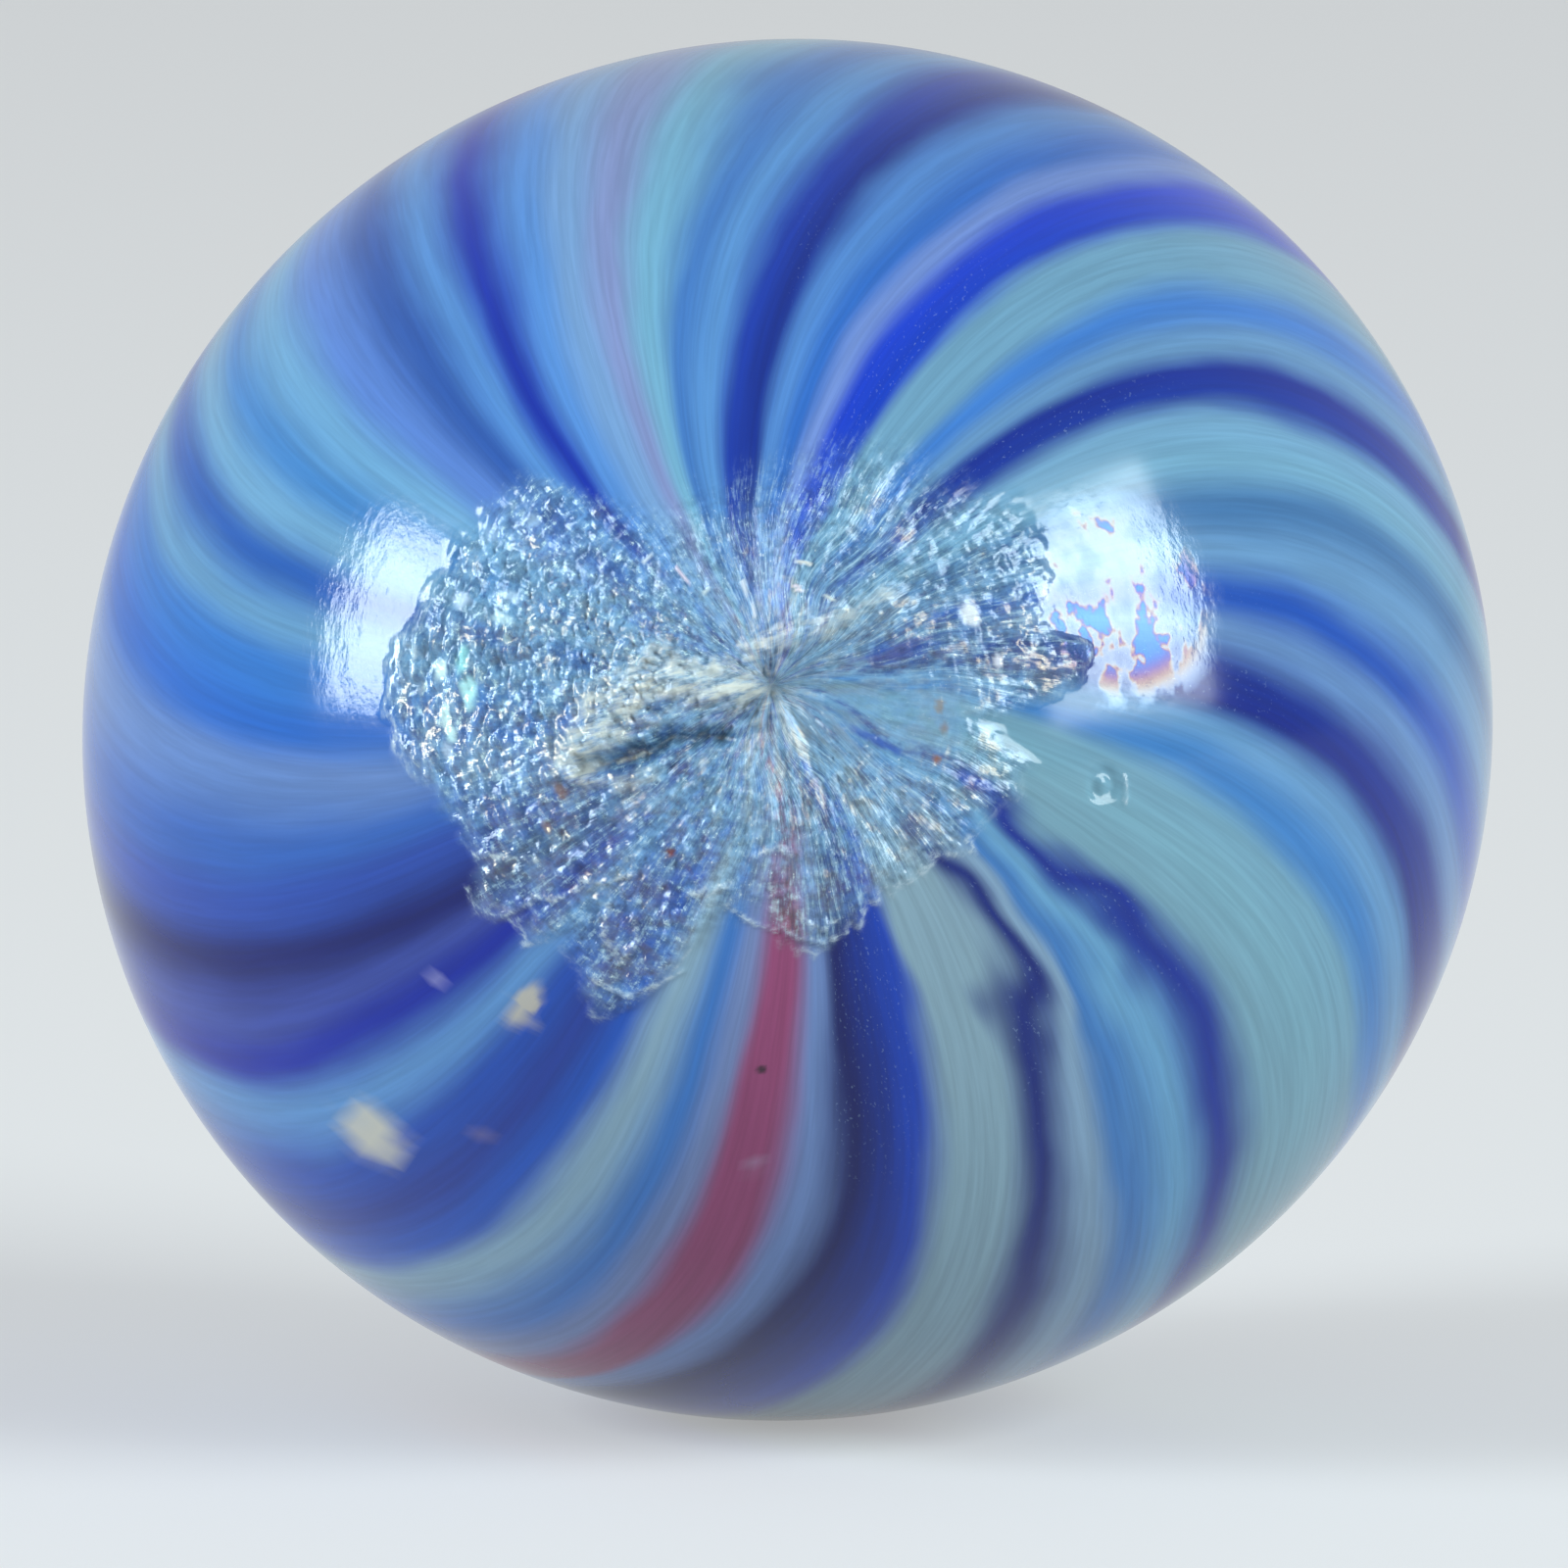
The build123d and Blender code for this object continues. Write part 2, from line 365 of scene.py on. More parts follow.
def cell_noise(points, seed):
    """How far each point is from the nearest and second nearest of the points scattered one a cell."""
    cells = np.floor(points).astype(np.int64)
    nearest = np.full(len(points), 9.0)
    second = np.full(len(points), 9.0)
    for step in np.ndindex(3, 3, 3):
        beside = cells + np.array(step) - 1
        place = beside + np.stack([random_of(beside, seed + k) for k in range(3)], axis=1)
        distance = np.linalg.norm(place - points, axis=1)
        second = np.minimum(second, np.maximum(nearest, distance))
        nearest = np.minimum(nearest, distance)
    return nearest, second


def drum(azimuth, reach, cells_round, cells_per_degree):
    """Noise points on a drum, so that the noise closes round the swirl axis."""
    turn = np.radians(azimuth)
    radius = cells_round / (2 * math.pi)
    return np.stack([np.cos(turn) * radius, np.sin(turn) * radius, reach * cells_per_degree], axis=1)


def line_distance(points, line):
    """How far flat points are from a line of straight runs."""
    nearest = np.full(len(points), 1e9)
    for start, end in zip(np.array(line[:-1]), np.array(line[1:])):
        run = end - start
        share = np.clip((points - start) @ run / (run @ run), 0, 1)
        nearest = np.minimum(nearest, np.linalg.norm(points - start - share[:, None] * run, axis=1))
    return nearest


def directions(azimuth, reach):
    """Unit vectors from the middle of the ball."""
    turn = np.radians(azimuth)[:, None]
    tilt = np.radians(reach)[:, None]
    return np.cos(tilt) * POLE + np.sin(tilt) * (np.sin(turn) * RIGHT + np.cos(turn) * UP)


def flat_distance(flat, centre, half_sizes=(1.0, 1.0)):
    """How far flat points are from a centre, in half sizes."""
    return np.hypot((flat[:, 0] - centre[0]) / half_sizes[0], (flat[:, 1] - centre[1]) / half_sizes[1])


def surface_distance(units):
    """How far the bare ball's surface is from its middle."""
    along = units @ SHORT_AXIS
    return 1 / np.sqrt((1 - along**2) / LONG_RADIUS**2 + along**2 / SHORT_RADIUS**2)


def streak_azimuths(reach):
    """Where the centre line of each streak crosses a reach."""
    inner, middle, outer = np.array([row[:3] for row in STREAKS], dtype=float).T
    if reach < STREAK_REACHES[0]:
        slope = (4 * middle - 3 * inner - outer) / (STREAK_REACHES[2] - STREAK_REACHES[0])
        return inner - (0.5 * slope + CENTRE_TWIST) * (STREAK_REACHES[0] - reach)
    if reach < STREAK_REACHES[2]:
        share = (reach - STREAK_REACHES[0]) / (STREAK_REACHES[1] - STREAK_REACHES[0])
        bend = share * (share - 1) / 2
        return inner + share * (middle - inner) + bend * (inner - 2 * middle + outer)
    slope = (inner - 4 * middle + 3 * outer) / (STREAK_REACHES[2] - STREAK_REACHES[0])
    past = reach - STREAK_REACHES[2]
    settled = SETTLING_REACH * (1 - math.exp(-past / SETTLING_REACH))
    return outer + BACK_TWIST * past + (slope - BACK_TWIST) * settled


def strand(azimuth, reach):
    """The streak coordinate along one ring: where the glass found there is at a reach of 30 degrees."""
    crossing = streak_azimuths(reach)
    home = np.array([row[0] for row in STREAKS], dtype=float)
    turns = np.array([[-720], [-360], [0], [360], [720]])
    return np.interp(azimuth, (crossing + turns).ravel(), (home + turns).ravel())


# ---------------------------------------------------------------- the relief of the scar
def relief(azimuth, reach):
    """The height above the bare ball in millimetres, the material's masks and the slivers' painted
    highlights.
    """
    flat = np.stack([reach * np.sin(np.radians(azimuth)), reach * np.cos(np.radians(azimuth))], axis=1)
    pleats, lumps, ripples, milk, fade = (around_table(SKIN_CHARACTER, azimuth, k) for k in (1, 2, 3, 4, 5))
    scallop = smooth_noise(drum(azimuth, reach * 0, 90, 0), 1) * 0.6
    scallop += smooth_noise(drum(azimuth, reach * 0, 31, 0), 17) * 0.6
    scallop += smooth_noise(drum(azimuth, reach, 200, 0.8), 2) * 0.6
    inside = around_table(SKIN_OUTLINE, azimuth, 1) + 0.4 * fade + scallop - reach
    skin = smoothstep(0.0, fade, inside)
    rim = np.exp(-(((inside - 0.55) / 0.4) ** 2)) + 0.6 * np.exp(-(((inside - 1.9) / 0.35) ** 2)) * ripples
    rim *= 1 - smoothstep(2.4, 4.0, fade)
    rim *= smoothstep(-0.5, 0.4, smooth_noise(drum(azimuth, reach, 48, 0.3), 18))

    # The skin itself, thicker at its edge, with pleats, lumps and ripples.
    away = smoothstep(3, 10, reach)
    swirl_turn = azimuth + 0.45 * reach
    ridge = 1 - np.abs(smooth_noise(drum(swirl_turn, reach, 130, 0.22), 3))
    fine_ridge = 1 - np.abs(smooth_noise(drum(swirl_turn, reach, 260, 0.5), 4))
    near, far = cell_noise(drum(azimuth, reach, 80, 0.85), 5)
    lump = np.minimum(far - near, 0.5) * 2
    near_small, far_small = cell_noise(drum(azimuth, reach, 190, 1.3), 6)
    pit = np.minimum(far_small - near_small, 0.4) * 2.5
    ripple = np.sin(inside * 3.1 + 2.2 * smooth_noise(drum(azimuth, reach, 40, 0.5), 7))
    swell = smooth_noise(drum(azimuth, reach, 36, 0.35), 8)
    height = skin * SKIN_STEP + skin * away * (
        PLEAT_HEIGHT * pleats * (ridge**3 - 0.3)
        + FINE_PLEAT_HEIGHT * pleats * (fine_ridge**3 - 0.3)
        + LUMP_HEIGHT * lumps * (lump - 0.5)
        + PIT_HEIGHT * (0.4 + lumps) * (pit - 0.5)
        + RIPPLE_HEIGHT * ripples * ripple * smoothstep(9, 1, inside)
        + SWELL_HEIGHT * swell
    )
    broken = 0.5 + 0.5 * smooth_noise(drum(azimuth, reach, 150, 1.0), 9)
    height += EDGE_HEIGHT * np.clip(rim, 0, 1) * broken

    # The sunken middle, with its folds and the fingers of glass that run into it.
    centre, radius, depth = SUNKEN_MIDDLE
    height -= depth * (1 - smoothstep(0, radius, flat_distance(flat, centre)))
    white = np.zeros(len(azimuth))
    crease_shade = np.zeros(len(azimuth))
    ragged = 0.5 * smooth_noise(drum(azimuth, reach, 60, 1.1), 10)
    ragged += 0.3 * smooth_noise(drum(azimuth, reach, 130, 2.3), 11)
    # Raised folds are pale; sunken ones are marked for painted shade in their creases.
    for line, half_width, rise in FOLDS:
        apart = line_distance(flat, line) / half_width + ragged
        bump = 1 - smoothstep(0, 1.5, apart)
        height += rise * bump
        if rise > 0:
            white += bump * min(1.0, rise / 0.1)
        else:
            crease_shade = np.maximum(crease_shade, bump)
    for line in RIMS:
        share = 1 - smoothstep(0.3, 1.3, line_distance(flat, line) / RIM_HALF_WIDTH + 0.8 * ragged)
        height += RIM_HEIGHT * share
        rim = np.maximum(rim, share)
    # The slivers stand up, and their colours are painted highlights.
    sliver_highlights = np.zeros((len(azimuth), 4))
    for line, half_width, colour in NEEDLES_AND_HIGHLIGHTS:
        start, end = np.array(line[0]), np.array(line[-1])
        from_middle = flat_distance(flat, (start + end) / 2) / np.linalg.norm(end - start) * 2
        taper = 0.6 * half_width * np.clip(1.15 - from_middle**2, 0.05, 1)
        share = 0.85 * (1 - smoothstep(0.4, 1.3, line_distance(flat, line) / taper))
        height += SLIVER_HEIGHT * share
        sliver_highlights = sliver_highlights * (1 - share[:, None]) + share[:, None] * np.array(srgb(colour))
    fingers = 1 - np.abs(smooth_noise(drum(azimuth, reach, 56, 0.12), 12))
    fingers = (fingers**2 - 0.4) * smoothstep(0.8, 2.5, reach) * (1 - smoothstep(8, 14, reach))
    height += FINGER_HEIGHT * fingers
    grain = smooth_noise(flat * 2.2 @ np.eye(2, 3) + 7.3, 13)
    height += FOLD_GRAIN_HEIGHT * grain * (1 - smoothstep(9, 16, reach)) * np.clip(white + 0.25, 0, 1)

    # The ring pit, and the masks that only the material needs.
    centre, radius, width, depth = RING_PIT
    ring = np.exp(-(((flat_distance(flat, centre) - radius) / width) ** 2))
    height -= depth * ring * (1 + 0.6 * smooth_noise(flat @ np.eye(2, 3) * 0.9 + 3.1, 16))
    film = np.zeros(len(azimuth))
    for centre, half_sizes in FILMS:
        film = np.maximum(film, 1 - smoothstep(0.55, 1.2, flat_distance(flat, centre, half_sizes)))
    calm = 1 - smoothstep(0.5, 1.2, flat_distance(flat, *CALM_PATCH))
    downward = (1 - np.cos(np.radians(azimuth))) / 2
    middle_frost = (0.35 + 0.4 * downward) * (1 - smoothstep(7, 19, reach))
    milk = skin * np.clip(milk + middle_frost, 0, 0.88)
    masks = {
        "skin": skin,
        "rim": np.clip(rim, 0, 1),
        "white": np.clip(white, 0, 1),
        "crease_shade": crease_shade,
        "milk": milk,
        "grainy": lumps / (lumps + pleats),
        "lively": skin * (1 - 0.75 * calm),
        "film": film,
    }
    return height, masks, sliver_highlights


def paint_specks_and_glints(azimuth, reach, paint):
    """Lays the inclusions, specks and painted glints over paint, which holds colour times strength, and
    strength.
    """
    ragged = 0.3 * smooth_noise(drum(azimuth, reach, 260, 1.2), 15)
    for place, out, half_width, half_length, colour, strength in SPECKS_AND_GLINTS:
        across = ((azimuth - place + 180) % 360 - 180) * np.sin(np.radians(out)) / half_width
        along = (reach - out) / half_length
        share = strength * (1 - smoothstep(0.5, 1.25, np.hypot(across, along) + ragged))[:, None]
        paint = paint * (1 - share) + share * np.array(srgb(colour))
    return paint


# ---------------------------------------------------------------- the mesh
SCAR_REACH = 34.0  # as far as the mesh is fine
SCAR_STEP = 0.25  # degrees from point to point there
BODY_STEP = 1.4  # and on the rest of the ball
STEP_GROWTH = 1.12  # from ring to ring in between
RING_COUNTS = [10 * 2**power for power in range(7)]


def ring_plan():
    """The reach of every ring and how many points it has, from the swirl axis to the back."""
    reaches = [SCAR_STEP]
    step = SCAR_STEP
    while reaches[-1] + step < 180 - 0.4 * BODY_STEP:
        reaches.append(reaches[-1] + step)
        if reaches[-1] > SCAR_REACH:
            step = min(step * STEP_GROWTH, BODY_STEP)
    counts = []
    for reach in reaches:
        spacing = SCAR_STEP if reach < SCAR_REACH else BODY_STEP
        wanted = 360 * math.sin(math.radians(reach)) / spacing
        count = min(RING_COUNTS, key=lambda choice: abs(math.log(choice / wanted)))
        if counts:
            count = min(max(count, counts[-1] // 2), counts[-1] * 2)
        counts.append(count)
    return reaches, counts


def band(inner, outer):
    """The faces between two rings, as pairs of ring (0 or 1) and point number."""
    if inner == outer:
        return [((0, k), (0, k + 1), (1, k + 1), (1, k)) for k in range(inner)]
    faces = []
    if outer > inner:
        for k in range(inner):
            faces.append(((0, k), (0, k + 1), (1, 2 * k + 1)))
            faces.append(((0, k), (1, 2 * k + 1), (1, 2 * k)))
            faces.append(((0, k + 1), (1, 2 * k + 2), (1, 2 * k + 1)))
        return faces
    for k in range(outer):
        faces.append(((0, 2 * k), (0, 2 * k + 1), (1, k)))
        faces.append(((0, 2 * k + 1), (1, k + 1), (1, k)))
        faces.append(((0, 2 * k + 1), (0, 2 * k + 2), (1, k + 1)))
    return faces


def marble_mesh():
    """The whole ball as rings round the swirl axis, with its relief, masks and streak coordinates."""
    reaches, counts = ring_plan()
    starts = np.concatenate([[1], 1 + np.cumsum(counts)]).astype(int)
    azimuth = np.concatenate([[0.0]] + [360 * np.arange(count) / count for count in counts] + [[0.0]])
    reach = np.concatenate([[0.0], np.repeat(reaches, counts), [180.0]])
    units = directions(azimuth, reach)
    height, masks, sliver_highlights = relief(azimuth, reach)
    height -= BACK_DENT * (1 - smoothstep(0, BACK_DENT_REACH, 180 - reach))
    points = units * (surface_distance(units) + height * MM)[:, None]

    faces = []
    corners = []  # turn, reach in degrees, streak turn
    strands = []
    for place, count in zip(reaches, counts):
        strands.append(strand(360 * np.arange(count + 1) / count, place) / 360)
    last = len(reaches) - 1
    back = int(starts[-1])
    for k in range(counts[0]):
        faces.append((0, 1 + (k + 1) % counts[0], 1 + k))
        middle = (strands[0][k] + strands[0][k + 1]) / 2
        corners.append(((k + 0.5) / counts[0], 0.0, middle))
        corners.append(((k + 1) / counts[0], reaches[0], strands[0][k + 1]))
        corners.append((k / counts[0], reaches[0], strands[0][k]))
    for ring in range(last):
        for face in band(counts[ring], counts[ring + 1]):
            faces.append(tuple(int(starts[ring + step]) + k % counts[ring + step] for step, k in face))
            for step, k in face:
                corners.append((k / counts[ring + step], reaches[ring + step], strands[ring + step][k]))
    for k in range(counts[last]):
        faces.append((int(starts[last]) + k, int(starts[last]) + (k + 1) % counts[last], back))
        middle = (strands[last][k] + strands[last][k + 1]) / 2
        corners.append((k / counts[last], reaches[last], strands[last][k]))
        corners.append(((k + 1) / counts[last], reaches[last], strands[last][k + 1]))
        corners.append(((k + 0.5) / counts[last], 180.0, middle))

    mesh = bpy.data.meshes.new("marble_glass")
    mesh.from_pydata(points.tolist(), [], faces)
    swirl = mesh.attributes.new("swirl", "FLOAT_VECTOR", "CORNER")
    swirl.data.foreach_set("vector", np.array(corners).ravel())
    for name, values in masks.items():
        mask = mesh.attributes.new(name, "FLOAT", "POINT")
        mask.data.foreach_set("value", values.astype(np.float32))
    # Inclusions, specks, painted glints and the slivers' painted highlights, as colour times strength.
    specks_and_glints = mesh.attributes.new("specks_and_glints", "FLOAT_COLOR", "POINT")
    specks_and_glints.data.foreach_set("color", paint_specks_and_glints(azimuth, reach, sliver_highlights).astype(np.float32).ravel())
    mesh.shade_smooth()
    return mesh


# ---------------------------------------------------------------- the glass
GLASS_IOR = 1.5
GLASS_SHINE = 0.42
FILM_IOR = 1.62
BALL_ROUGHNESS = 0.13
SKIN_ROUGHNESS = 0.08
FINE_RELIEF = 0.000016  # metres


def node(tree, kind, *values, out=0, settings=(), **named):
    """A new shader node with its inputs set or linked, in order or by name; gives the output asked for."""
    made = tree.nodes.new("ShaderNode" + kind)
    for name, value in dict(settings).items():
        setattr(made, name, value)
    pairs = list(zip(made.inputs, values)) + [(made.inputs[name], value) for name, value in named.items()]
    for socket, value in pairs:
        if isinstance(value, bpy.types.NodeSocket):
            tree.links.new(value, socket)
        elif value is not None:
            socket.default_value = value
    return made.outputs[out]


def calc(tree, operation, *values):
    """A Math node."""
    return node(tree, "Math", *values, settings={"operation": operation})


def mix(tree, share, first, second, blend="MIX"):
    """A colour Mix node."""
    made = tree.nodes.new("ShaderNodeMix")
    made.data_type = "RGBA"
    made.blend_type = blend
    for socket, value in ((made.inputs[0], share), (made.inputs[6], first), (made.inputs[7], second)):
        if isinstance(value, bpy.types.NodeSocket):
            tree.links.new(value, socket)
        else:
            socket.default_value = value
    return made.outputs[2]


def ramped(tree, value, low, high, start=0.0, end=1.0):
    """A value mapped from one range to another, with an easy slope."""
    settings = {"interpolation_type": "SMOOTHSTEP"}
    return node(tree, "MapRange", value, low, high, start, end, settings=settings)


def drum_nodes(tree, turn, reach, cells_round, cells_per_degree):
    """The nodes' own drum coordinates, from turns and degrees."""
    angle = calc(tree, "MULTIPLY", turn, 2 * math.pi)
    radius = cells_round / (2 * math.pi)
    x = calc(tree, "MULTIPLY", calc(tree, "COSINE", angle), radius)
    y = calc(tree, "MULTIPLY", calc(tree, "SINE", angle), radius)
    z = calc(tree, "MULTIPLY", reach, cells_per_degree)
    return node(tree, "CombineXYZ", x, y, z)


def noise(tree, place, detail=2.0, roughness=0.5):
    """Noise from 0 to 1 at a place."""
    return node(tree, "TexNoise", Vector=place, Scale=1.0, Detail=detail, Roughness=roughness)


def streak_colour(tree, turn):
    """The streaks' colours round the ball, in as many ramps as their number needs."""
    share = calc(tree, "FRACT", turn)
    per_ramp = 24  # a ramp holds 32 stops at most
    colour = None
    for first in range(0, len(STREAKS), per_ramp):
        rows = STREAKS[first : first + per_ramp + 1]
        if first + per_ramp >= len(STREAKS):
            rows = STREAKS[first:] + [(360,) + STREAKS[0][1:]]
        low, high = rows[0][0] / 360, rows[-1][0] / 360
        made = tree.nodes.new("ShaderNodeValToRGB")
        made.color_ramp.interpolation = "EASE"
        stops = made.color_ramp.elements
        for row in rows[1:-1]:
            stops.new((row[0] / 360 - low) / (high - low))
        for stop, row in zip(stops, rows):
            stop.position = (row[0] / 360 - low) / (high - low)
            stop.color = srgb(row[3])
        within = node(tree, "MapRange", share, low, high, 0.0, 1.0)
        tree.links.new(within, made.inputs[0])
        piece = made.outputs[0]
        colour = piece if colour is None else mix(tree, calc(tree, "GREATER_THAN", share, low), colour, piece)
    return colour


def split_vector(tree, vector):
    """The three numbers of a vector."""
    made = tree.nodes.new("ShaderNodeSeparateXYZ")
    tree.links.new(vector, made.inputs[0])
    return made.outputs


def product(tree, *factors):
    """Numbers multiplied together."""
    result = factors[0]
    for factor in factors[1:]:
        result = calc(tree, "MULTIPLY", result, factor)
    return result


def centred(tree, value):
    """Noise from -0.5 to 0.5."""
    return calc(tree, "SUBTRACT", value, 0.5)


def marble_material():
    """Striped glass: streaks, a milky skin of fibres and grains, folds, dust, spots, painted glints and
    shade, and a thin film.
    """
    material = bpy.data.materials.new("swirled_glass")
    material.use_nodes = True
    tree = material.node_tree
    tree.nodes.clear()
    swirl = node(tree, "Attribute", settings={"attribute_name": "swirl"}, out=1)
    turn, reach, streak = split_vector(tree, swirl)
    skin, rim, white, crease_shade, milk, grainy, lively, film = (
        node(tree, "Attribute", settings={"attribute_name": name}, out=2)
        for name in ("skin", "rim", "white", "crease_shade", "milk", "grainy", "lively", "film")
    )
    specks_and_glints = tree.nodes.new("ShaderNodeAttribute")
    specks_and_glints.attribute_name = "specks_and_glints"

    # Near the swirl axis the streaks are stirred, so that they don't run to one point.
    angle = product(tree, turn, 2 * math.pi)
    across = product(tree, reach, calc(tree, "SINE", angle))
    upward = product(tree, reach, calc(tree, "COSINE", angle))
    flat = node(tree, "CombineXYZ", across, upward, 0.0)
    stir = split_vector(tree, node(tree, "TexNoise", out=1, Vector=flat, Scale=0.11, Detail=0.0))
    strength = ramped(tree, reach, 3.0, 20.0, 6.0, 0.0)
    stirred_x = calc(tree, "MULTIPLY_ADD", centred(tree, stir[0]), strength, across)
    stirred_y = calc(tree, "MULTIPLY_ADD", centred(tree, stir[1]), strength, upward)
    stirred = calc(tree, "DIVIDE", calc(tree, "ARCTAN2", stirred_x, stirred_y), 2 * math.pi)
    turned = calc(tree, "WRAP", calc(tree, "SUBTRACT", stirred, turn), 0.5, -0.5)
    streak = calc(tree, "ADD", streak, turned)

    # Streaks: the edges wander a little, and more where the skin bends the light.
    wander = centred(tree, noise(tree, drum_nodes(tree, streak, reach, 44, 0.05), 2.0))
    bent = centred(tree, noise(tree, drum_nodes(tree, turn, reach, 150, 0.6), 3.0, 0.7))
    bent = product(tree, bent, skin, 0.006)
    moved = calc(tree, "ADD", calc(tree, "MULTIPLY_ADD", wander, 0.012, streak), bent)

    # Below the scar on the right, the streaks are stirred into each other.
    centre, full, end = TANGLE
    from_tangle = node(tree, "VectorMath", flat, centre, out=1, settings={"operation": "DISTANCE"})
    tangle = centred(tree, noise(tree, drum_nodes(tree, turn, reach, 34, 0.085), 1.0))
    tangle = product(tree, tangle, ramped(tree, from_tangle, full, end, 0.05, 0.0))
    moved = calc(tree, "ADD", moved, tangle)
    colour = streak_colour(tree, moved)

    # Fine threads along the streaks, and the clear glass over them.
    thread = noise(tree, drum_nodes(tree, streak, reach, 420, 0.07), 3.0, 0.6)
    brighter = ramped(tree, thread, 0.25, 0.75, 0.90, 1.10)
    colour = mix(tree, 1.0, colour, brighter, "MULTIPLY")
    colour = mix(tree, 1.0, colour, CLEAR_GLASS, "MULTIPLY")

    # The skin over the scar is milky, and full of fine fibres that run outwards and grains between them.
    fibre = noise(tree, drum_nodes(tree, streak, reach, 330, 0.40), 4.0, 0.68)
    grain = noise(tree, drum_nodes(tree, turn, reach, 150, 1.7), 4.0, 0.72)
    strand_line = noise(tree, drum_nodes(tree, streak, reach, 620, 0.8), 2.0, 0.6)
    patch = noise(tree, drum_nodes(tree, turn, reach, 60, 0.5), 3.0, 0.6)
    frost = product(tree, milk, ramped(tree, patch, 0.3, 0.7, 0.3, 1.35))
    colour = mix(tree, frost, colour, srgb(MILK))
    mottle = noise(tree, drum_nodes(tree, turn, reach, 84, 0.9), 3.0, 0.6)
    mottle = ramped(tree, mottle, 0.34, 0.64, 0.60, 1.16)
    mottled = mix(tree, 1.0, colour, mottle, "MULTIPLY")
    colour = mix(tree, product(tree, lively, 0.85), colour, mottled)
    weave = node(tree, "Mix", grainy, None, fibre, grain)
    # Between the fibres, where the fine relief is low, the colour darkens: clear glass over the streaks, and
    # painted shade.
    gaps_and_shade = product(tree, lively, ramped(tree, weave, 0.49, 0.32, 0.0, 0.65))
    colour = mix(tree, gaps_and_shade, colour, srgb(GAP_AND_SHADE))
    haze = product(tree, lively, ramped(tree, weave, 0.49, 0.66, 0.0, 0.7))
    colour = mix(tree, haze, colour, srgb(HAZE))
    # Painted highlights: pale glints where grains and fibre lines meet.
    glitter_highlight = product(tree, ramped(tree, grain, 0.60, 0.70), ramped(tree, strand_line, 0.50, 0.62))
    colour = mix(tree, product(tree, lively, 0.85, glitter_highlight), colour, srgb(GLITTER_HIGHLIGHT))
    # Painted highlights: glints on the grains of the lumpy parts.
    chip_glints = product(tree, ramped(tree, grain, 0.60, 0.68), ramped(tree, grainy, 0.4, 0.8))
    colour = mix(tree, product(tree, lively, 0.9, chip_glints), colour, srgb(CHIP_GLINT))
    edge = product(tree, rim, ramped(tree, grain, 0.40, 0.65, 0.1, 0.75))
    colour = mix(tree, edge, colour, srgb(SKIN_EDGE))

    # The pale folds in the middle are made of fibres too; painted shade darkens the gaps between them and the
    # sunken creases.
    slanted = calc(tree, "MULTIPLY_ADD", across, -0.3, upward)
    level = node(tree, "CombineXYZ", product(tree, across, 0.28), product(tree, slanted, 1.1), 0.0)
    hair = noise(tree, level, 4.0, 0.62)
    fold = product(tree, white, ramped(tree, hair, 0.38, 0.60, 0.15, 0.95))
    colour = mix(tree, fold, colour, srgb(PALE_FOLD))
    shade = product(tree, calc(tree, "MAXIMUM", white, crease_shade), ramped(tree, hair, 0.42, 0.32, 0.0, 0.7))
    shade = calc(tree, "MAXIMUM", shade, product(tree, crease_shade, 0.45))
    colour = mix(tree, shade, colour, srgb(FOLD_SHADE))

    # Pale dust clings to the darkest streaks near the scar, on the right.
    on_dark = ramped(tree, node(tree, "RGBToBW", colour), 0.12, 0.05)
    on_right = ramped(tree, across, 0.0, 4.0)
    near_scar = ramped(tree, reach, 50.0, 34.0)
    dust = ramped(tree, noise(tree, drum_nodes(tree, turn, reach, 800, 2.4), 2.0, 0.6), 0.63, 0.72)
    colour = mix(tree, product(tree, dust, on_dark, on_right, 0.28, near_scar), colour, srgb(DUST))

    # Inclusions and specks lie under and in the surface; painted glints and the slivers' painted highlights
    # are laid in with them.
    keep = calc(tree, "SUBTRACT", 1.0, specks_and_glints.outputs[3])
    painted = node(tree, "VectorMath", colour, None, None, keep, settings={"operation": "SCALE"})
    painted = node(tree, "VectorMath", painted, specks_and_glints.outputs[0], settings={"operation": "ADD"})

    # Relief finer than the mesh.
    height = product(tree, lively, calc(tree, "MULTIPLY_ADD", strand_line, 0.5, weave))
    crust = noise(tree, drum_nodes(tree, turn, reach, 110, 0.8), 4.0, 0.6)
    height = calc(tree, "MULTIPLY_ADD", product(tree, film, 0.75), crust, height)
    bump = node(tree, "Bump", Strength=0.9, Distance=FINE_RELIEF, Height=height)
    rough = calc(tree, "MULTIPLY_ADD", skin, SKIN_ROUGHNESS - BALL_ROUGHNESS, BALL_ROUGHNESS)

    # A thin film, in nanometres, brightens the skin and the patch right of it. It is thicker in blotches,
    # mostly on the patch's low side, and those show colours like oil on water.
    film = product(tree, film, calc(tree, "GREATER_THAN", across, 0.0))
    film = calc(tree, "MAXIMUM", film, product(tree, skin, 0.6))
    blotch = noise(tree, drum_nodes(tree, turn, reach, 44, 0.33), 3.0, 0.6)
    thin = ramped(tree, blotch, 0.35, 0.55, 50.0, 82.0)
    low_side = ramped(tree, upward, 10.0, 4.0, 0.0, 0.12)
    thicker = ramped(tree, calc(tree, "ADD", blotch, low_side), 0.57, 0.66, 0.0, 125.0)
    thickness = product(tree, film, calc(tree, "ADD", thin, thicker))

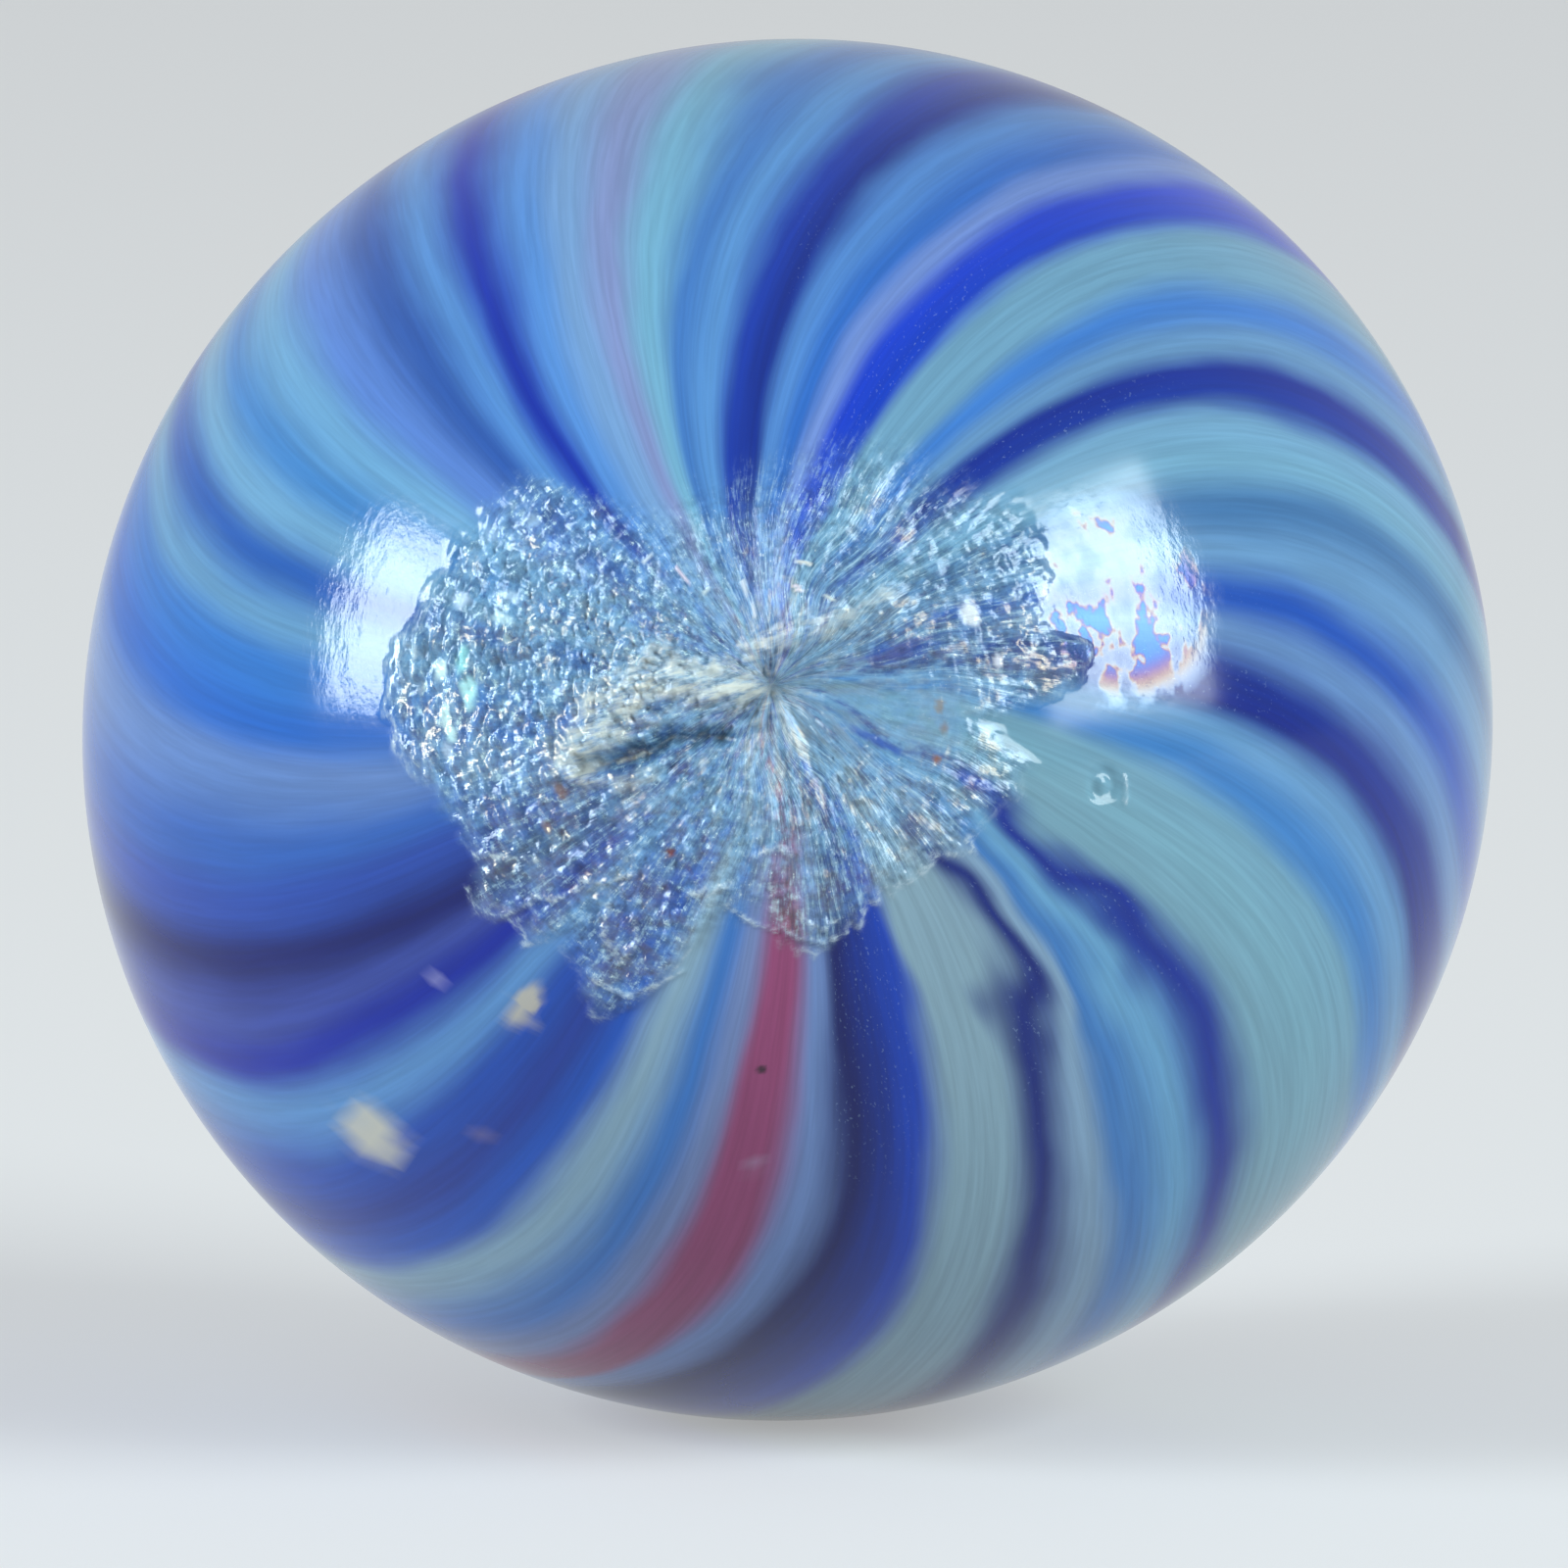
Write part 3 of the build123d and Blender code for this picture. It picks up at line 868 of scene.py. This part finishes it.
    shader = tree.nodes.new("ShaderNodeBsdfPrincipled")
    shader.inputs["IOR"].default_value = GLASS_IOR
    shader.inputs["Specular IOR Level"].default_value = GLASS_SHINE
    shader.inputs["Thin Film IOR"].default_value = FILM_IOR
    tree.links.new(thickness, shader.inputs["Thin Film Thickness"])
    tree.links.new(painted, shader.inputs["Base Color"])
    tree.links.new(rough, shader.inputs["Roughness"])
    tree.links.new(bump, shader.inputs["Normal"])
    output = tree.nodes.new("ShaderNodeOutputMaterial")
    tree.links.new(shader.outputs[0], output.inputs[0])
    return material


# ---------------------------------------------------------------- the studio
CAMERA_AZIMUTH = math.radians(1.35)
CAMERA_RISE = math.radians(7.4)
CAMERA_DISTANCE = 0.400
SENSOR_WIDTH = 36.0
FRAME_WIDTH = 0.01775  # at the ball
AIM = np.array([-0.00004, 0.0, -0.00062])  # the point looked at, in metres from the middle of the ball
LAMP_DISTANCE = 0.3
FLOOR_HALF = 3.0
FLOOR_COLOUR = (0.47, 0.47, 0.47, 1.0)
FLOOR_GLOW = 0.36  # for rays that see it directly
ROOM_COLOUR = (0.91, 0.96, 1.0, 1.0)
ROOM_LIGHT = 0.25  # as a lamp
ROOM_LOOK = 0.6  # as seen directly


def camera():
    """The close view of the scar, from far enough away to be nearly square."""
    data = bpy.data.cameras.new("close_view")
    data.sensor_width = SENSOR_WIDTH
    data.lens = SENSOR_WIDTH * CAMERA_DISTANCE / FRAME_WIDTH
    data.clip_start = 0.01
    data.clip_end = 20.0
    made = bpy.data.objects.new("close_view", data)
    bpy.context.collection.objects.link(made)
    level = math.cos(CAMERA_RISE)
    sideways = math.sin(CAMERA_AZIMUTH) * level
    forwards = -math.cos(CAMERA_AZIMUTH) * level
    made.location = np.array([sideways, forwards, math.sin(CAMERA_RISE)]) * CAMERA_DISTANCE + AIM
    made.rotation_euler = (math.pi / 2 - CAMERA_RISE, 0.0, CAMERA_AZIMUTH)
    bpy.context.scene.camera = made


def soft_box(name, toward, size, energy, colour):
    """A soft oblong lamp that the ball mirrors, facing the middle of the ball."""
    data = bpy.data.lights.new(name, "AREA")
    data.shape = "RECTANGLE"
    data.size, data.size_y = size
    data.energy = energy
    data.color = colour
    made = bpy.data.objects.new(name, data)
    bpy.context.collection.objects.link(made)
    made.location = Vector(toward).normalized() * LAMP_DISTANCE
    made.rotation_euler = Vector(toward).to_track_quat("Z", "Y").to_euler()
    made.visible_camera = False


def seen_directly(tree):
    """1 for rays from the camera, and for what glossy and clear surfaces show."""
    path = tree.nodes.new("ShaderNodeLightPath")
    seen = calc(tree, "MAXIMUM", path.outputs["Is Camera Ray"], path.outputs["Is Glossy Ray"])
    return calc(tree, "MAXIMUM", seen, path.outputs["Is Transmission Ray"])


def floor():
    """A wide pale floor under the ball, which stays pale far from the lamps."""
    mesh = bpy.data.meshes.new("floor")
    signs = [(-1, -1), (1, -1), (1, 1), (-1, 1)]
    mesh.from_pydata([(x * FLOOR_HALF, y * FLOOR_HALF, FLOOR_Z) for x, y in signs], [], [(0, 1, 2, 3)])
    made = bpy.data.objects.new("floor", mesh)
    bpy.context.collection.objects.link(made)
    material = bpy.data.materials.new("pale_floor")
    material.use_nodes = True
    tree = material.node_tree
    shader = tree.nodes["Principled BSDF"]
    shader.inputs["Base Color"].default_value = FLOOR_COLOUR
    shader.inputs["Emission Color"].default_value = (0.98, 0.99, 1.0, 1.0)
    tree.links.new(product(tree, seen_directly(tree), FLOOR_GLOW), shader.inputs["Emission Strength"])
    shader.inputs["Roughness"].default_value = 0.8
    shader.inputs["Specular IOR Level"].default_value = 0.1
    mesh.materials.append(material)


def world():
    """A pale room: dimmer as a lamp than it looks."""
    made = bpy.data.worlds.new("studio")
    made.use_nodes = True
    tree = made.node_tree
    tree.nodes.clear()
    strength = node(tree, "MapRange", seen_directly(tree), 0.0, 1.0, ROOM_LIGHT, ROOM_LOOK)
    back = node(tree, "Background", ROOM_COLOUR, strength)
    output = tree.nodes.new("ShaderNodeOutputWorld")
    tree.links.new(back, output.inputs[0])
    bpy.context.scene.world = made


camera()
floor()
world()
soft_box("left_window", (-0.895, -0.31, 0.32), (0.11, 0.14), 0.92, (0.84, 0.95, 1.0))
soft_box("right_window", (0.794, -0.4585, 0.399), (0.17, 0.19), 0.94, (0.88, 0.98, 1.0))

marble = bpy.data.objects.new("marble_glass", marble_mesh())
bpy.context.collection.objects.link(marble)
marble.data.materials.append(marble_material())
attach(marble, "root")
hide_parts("marble")

bpy.context.scene.view_settings.view_transform = "Standard"
